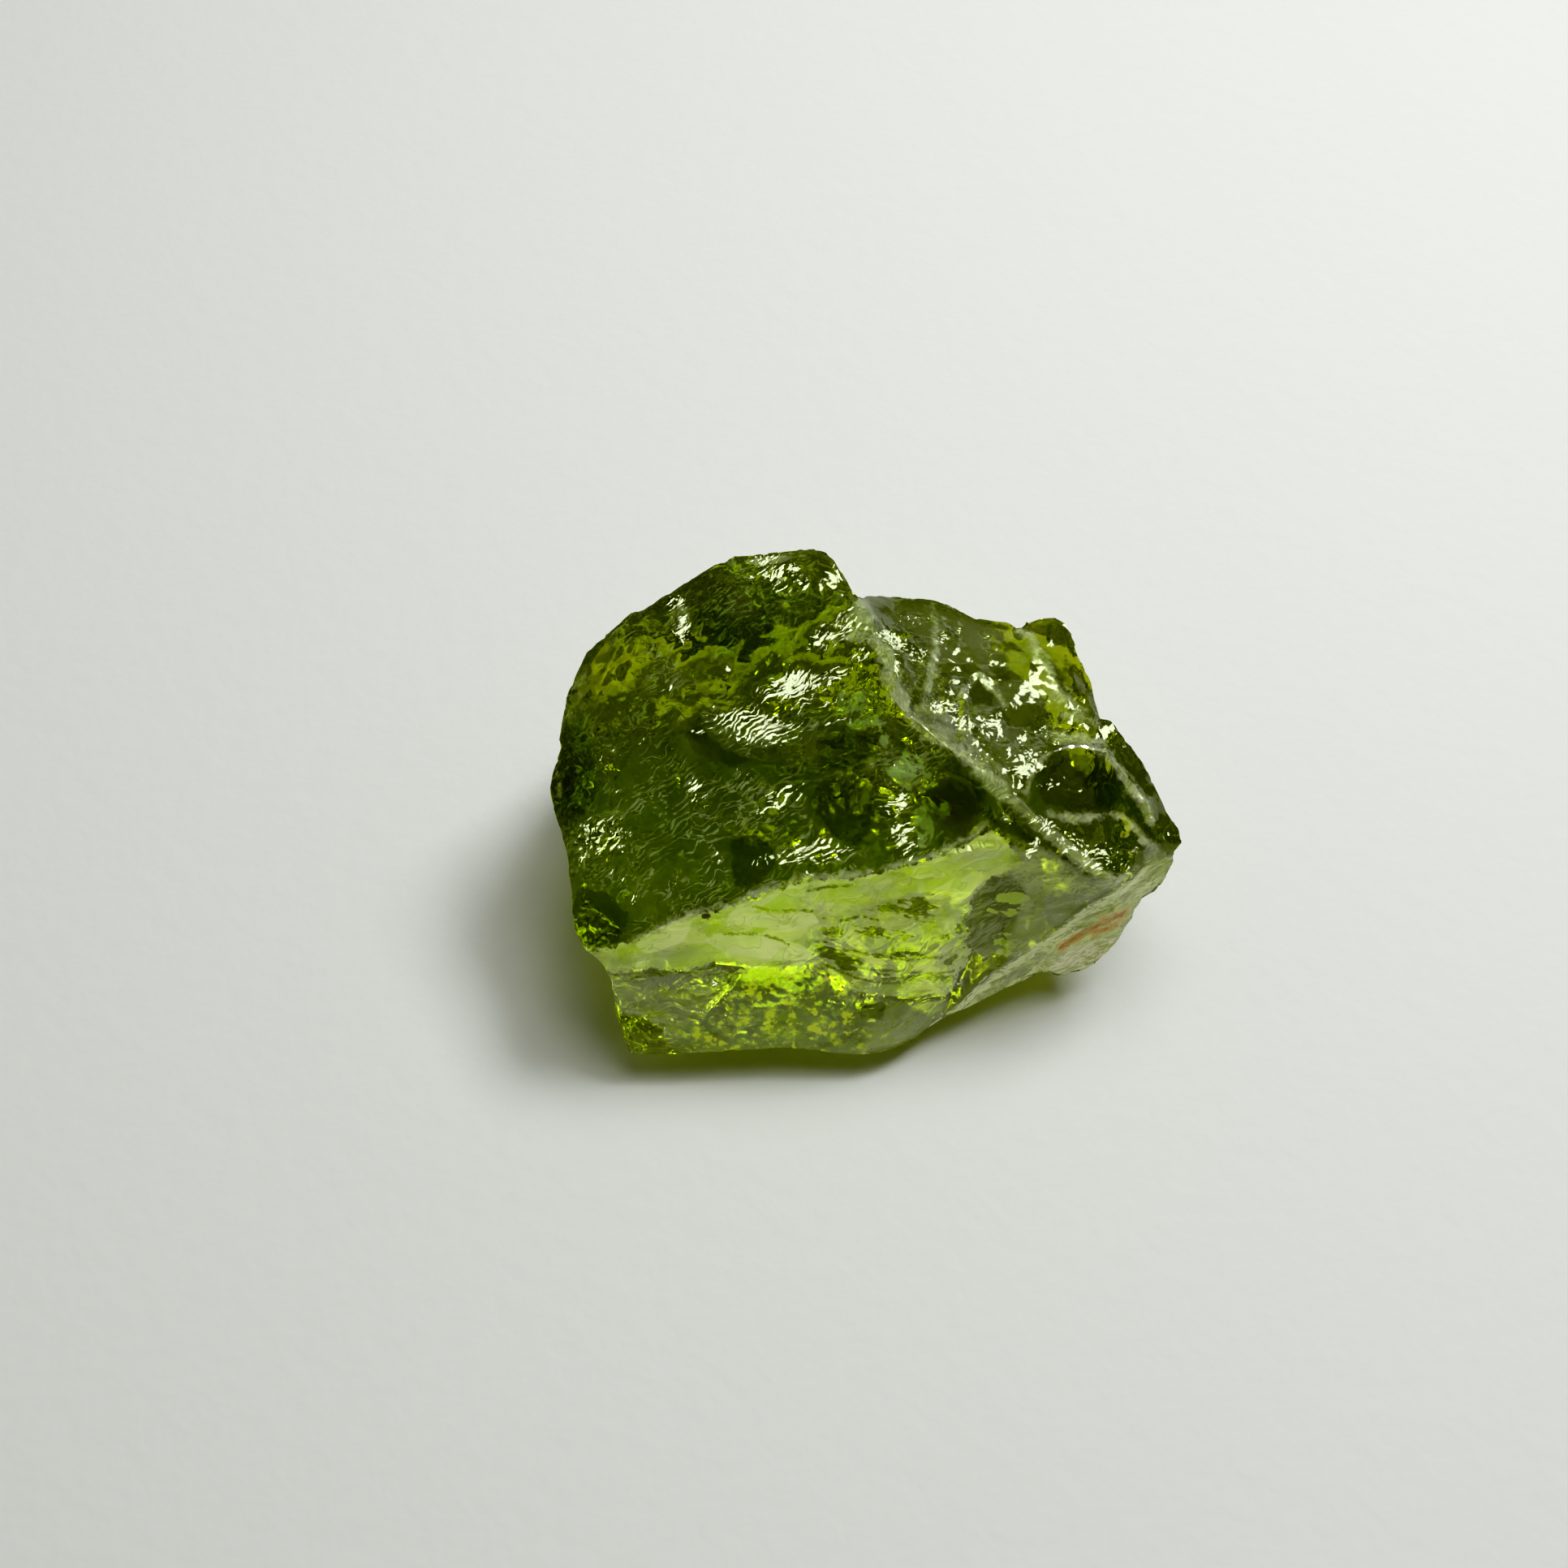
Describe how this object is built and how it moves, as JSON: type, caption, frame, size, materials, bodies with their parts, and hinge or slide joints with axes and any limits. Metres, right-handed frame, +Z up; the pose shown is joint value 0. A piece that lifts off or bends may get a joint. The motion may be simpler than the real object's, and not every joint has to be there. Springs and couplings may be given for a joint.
{
  "type": "rough peridot",
  "caption": "Rough, broken piece of clear green peridot with conchoidal faces, lying on its flattest break.",
  "frame": {"origin": "on the ground under the middle of the stone's bounding box, in the plane of the flat break it rests on", "axes": "+X along the stone's length, towards its pointed end; +Y from the pale front break to the back wall; +Z up"},
  "size_m": [0.016, 0.0128, 0.0084],
  "materials": {
    "peridot": "broken, glassy to frosted"
  },
  "bodies": {
    "root": {"peridot_stone": "peridot"}
  },
  "joints": []
}
